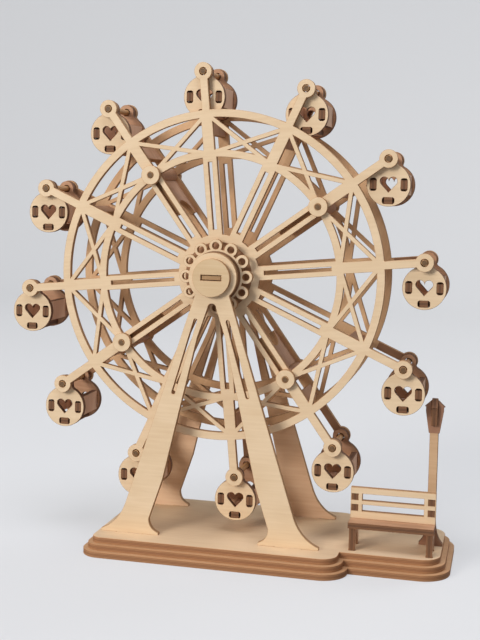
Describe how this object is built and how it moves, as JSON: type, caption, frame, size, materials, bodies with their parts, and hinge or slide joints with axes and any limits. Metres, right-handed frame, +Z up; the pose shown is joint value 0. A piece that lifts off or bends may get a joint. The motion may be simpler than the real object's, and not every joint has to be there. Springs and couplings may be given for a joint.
{
  "type": "ferris wheel puzzle",
  "caption": "Laser-cut plywood ferris wheel: a lattice wheel with level-hanging gondolas turns by hand between two A-frames on a stepped base with a bench and a street lamp.",
  "frame": {"origin": "on the flat underside of the base, straight below the wheel's hub", "axes": "+Z up, +Y to the rear along the axle, +X to the side with the bench and the lamp"},
  "size_m": [0.1546, 0.062, 0.1649],
  "materials": {
    "plywood": "bare pale plywood with burnt laser-cut edges",
    "charred_plywood": "plywood seen on its burnt edges and in shade",
    "dowel": "bare round hardwood dowel"
  },
  "bodies": {
    "stand": {"base_bottom_layer": "plywood", "base_middle_layer": "plywood", "base_top_layer": "plywood", "front_frame": "plywood", "rear_frame": "plywood", "axle": "dowel", "front_cap": "plywood", "rear_cap": "plywood", "bench_seat": "plywood", "bench_back": "plywood", "bench_left_side": "plywood", "bench_right_side": "plywood", "lamp_post": "plywood", "lamp_foot_cross": "plywood", "lamp_lantern_cross": "plywood"},
    "wheel": {"wheel_front_disc": "plywood", "wheel_rear_disc": "plywood", "front_hub_flange": "plywood", "rear_hub_flange": "plywood", "hub_drum": "charred_plywood", "spoke_bridge_01": "charred_plywood", "spoke_bridge_02": "charred_plywood", "spoke_bridge_03": "charred_plywood", "spoke_bridge_04": "charred_plywood", "spoke_bridge_05": "charred_plywood", "spoke_bridge_06": "charred_plywood", "spoke_bridge_07": "charred_plywood", "spoke_bridge_08": "charred_plywood", "spoke_bridge_09": "charred_plywood", "spoke_bridge_10": "charred_plywood", "spoke_bridge_11": "charred_plywood", "spoke_bridge_12": "charred_plywood", "tie_rod_1": "charred_plywood", "tie_rod_2": "charred_plywood", "tie_rod_3": "charred_plywood", "tie_rod_4": "charred_plywood", "cabin_pin_01": "dowel", "cabin_pin_02": "dowel", "cabin_pin_03": "dowel", "cabin_pin_04": "dowel", "cabin_pin_05": "dowel", "cabin_pin_06": "dowel", "cabin_pin_07": "dowel", "cabin_pin_08": "dowel", "cabin_pin_09": "dowel", "cabin_pin_10": "dowel", "cabin_pin_11": "dowel", "cabin_pin_12": "dowel"},
    "gondola_01": {"cabin_01": "plywood"},
    "gondola_02": {"cabin_02": "plywood"},
    "gondola_03": {"cabin_03": "plywood"},
    "gondola_04": {"cabin_04": "plywood"},
    "gondola_05": {"cabin_05": "plywood"},
    "gondola_06": {"cabin_06": "plywood"},
    "gondola_07": {"cabin_07": "plywood"},
    "gondola_08": {"cabin_08": "plywood"},
    "gondola_09": {"cabin_09": "plywood"},
    "gondola_10": {"cabin_10": "plywood"},
    "gondola_11": {"cabin_11": "plywood"},
    "gondola_12": {"cabin_12": "plywood"}
  },
  "joints": [
    {"name": "wheel_spin", "type": "hinge", "parent": "stand", "child": "wheel", "pos_m": [0, 0, 0.0939], "axis": [0, 1, 0], "continuous": true},
    {"name": "gondola_01_swing", "type": "hinge", "parent": "wheel", "child": "gondola_01", "pos_m": [0.06806, 0, 0.10069], "axis": [0, 1, 0], "continuous": true},
    {"name": "gondola_02_swing", "type": "hinge", "parent": "wheel", "child": "gondola_02", "pos_m": [0.05555, 0, 0.13381], "axis": [0, 1, 0], "continuous": true},
    {"name": "gondola_03_swing", "type": "hinge", "parent": "wheel", "child": "gondola_03", "pos_m": [0.02815, 0, 0.15624], "axis": [0, 1, 0], "continuous": true},
    {"name": "gondola_04_swing", "type": "hinge", "parent": "wheel", "child": "gondola_04", "pos_m": [-0.00679, 0, 0.16196], "axis": [0, 1, 0], "continuous": true},
    {"name": "gondola_05_swing", "type": "hinge", "parent": "wheel", "child": "gondola_05", "pos_m": [-0.03991, 0, 0.14945], "axis": [0, 1, 0], "continuous": true},
    {"name": "gondola_06_swing", "type": "hinge", "parent": "wheel", "child": "gondola_06", "pos_m": [-0.06234, 0, 0.12205], "axis": [0, 1, 0], "continuous": true},
    {"name": "gondola_07_swing", "type": "hinge", "parent": "wheel", "child": "gondola_07", "pos_m": [-0.06806, 0, 0.08711], "axis": [0, 1, 0], "continuous": true},
    {"name": "gondola_08_swing", "type": "hinge", "parent": "wheel", "child": "gondola_08", "pos_m": [-0.05555, 0, 0.05399], "axis": [0, 1, 0], "continuous": true},
    {"name": "gondola_09_swing", "type": "hinge", "parent": "wheel", "child": "gondola_09", "pos_m": [-0.02815, 0, 0.03156], "axis": [0, 1, 0], "continuous": true},
    {"name": "gondola_10_swing", "type": "hinge", "parent": "wheel", "child": "gondola_10", "pos_m": [0.00679, 0, 0.02584], "axis": [0, 1, 0], "continuous": true},
    {"name": "gondola_11_swing", "type": "hinge", "parent": "wheel", "child": "gondola_11", "pos_m": [0.03991, 0, 0.03835], "axis": [0, 1, 0], "continuous": true},
    {"name": "gondola_12_swing", "type": "hinge", "parent": "wheel", "child": "gondola_12", "pos_m": [0.06234, 0, 0.06575], "axis": [0, 1, 0], "continuous": true}
  ],
  "couplings": [
    {"joint": "gondola_01_swing", "follows": "wheel_spin", "ratio": -1},
    {"joint": "gondola_02_swing", "follows": "wheel_spin", "ratio": -1},
    {"joint": "gondola_03_swing", "follows": "wheel_spin", "ratio": -1},
    {"joint": "gondola_04_swing", "follows": "wheel_spin", "ratio": -1},
    {"joint": "gondola_05_swing", "follows": "wheel_spin", "ratio": -1},
    {"joint": "gondola_06_swing", "follows": "wheel_spin", "ratio": -1},
    {"joint": "gondola_07_swing", "follows": "wheel_spin", "ratio": -1},
    {"joint": "gondola_08_swing", "follows": "wheel_spin", "ratio": -1},
    {"joint": "gondola_09_swing", "follows": "wheel_spin", "ratio": -1},
    {"joint": "gondola_10_swing", "follows": "wheel_spin", "ratio": -1},
    {"joint": "gondola_11_swing", "follows": "wheel_spin", "ratio": -1},
    {"joint": "gondola_12_swing", "follows": "wheel_spin", "ratio": -1}
  ]
}
